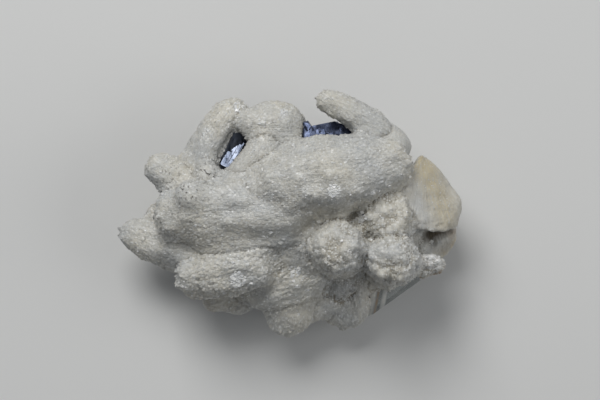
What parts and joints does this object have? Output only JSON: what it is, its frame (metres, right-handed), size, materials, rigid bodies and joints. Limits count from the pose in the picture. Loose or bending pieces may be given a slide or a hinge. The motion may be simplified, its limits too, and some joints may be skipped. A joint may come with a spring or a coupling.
{
  "type": "calcite and galena mineral specimen",
  "caption": "Cluster of elongated calcite crystals under a rough skin of small crystals, with dark galena and a clear calcite crystal, lying on its flat broken back.",
  "frame": {"origin": "on the flat broken back, below the middle of the cluster", "axes": "+Z away from the broken back, towards the viewer of the picture; +X along the longest extent, to the right in the picture; +Y up in the picture"},
  "size_m": [0.1013, 0.0736, 0.0476],
  "materials": {
    "drusy_calcite": "sugary, matt, many tiny crystal faces",
    "galena": "metallic lead grey, bright on cleavage faces",
    "clear_calcite": "glassy cleavage, slightly cloudy"
  },
  "bodies": {
    "root": {"calcite_cluster": "drusy_calcite", "galena_cleaved_crystal": "galena", "galena_etched_crystals": "galena", "clear_calcite_crystal": "clear_calcite"}
  },
  "joints": []
}
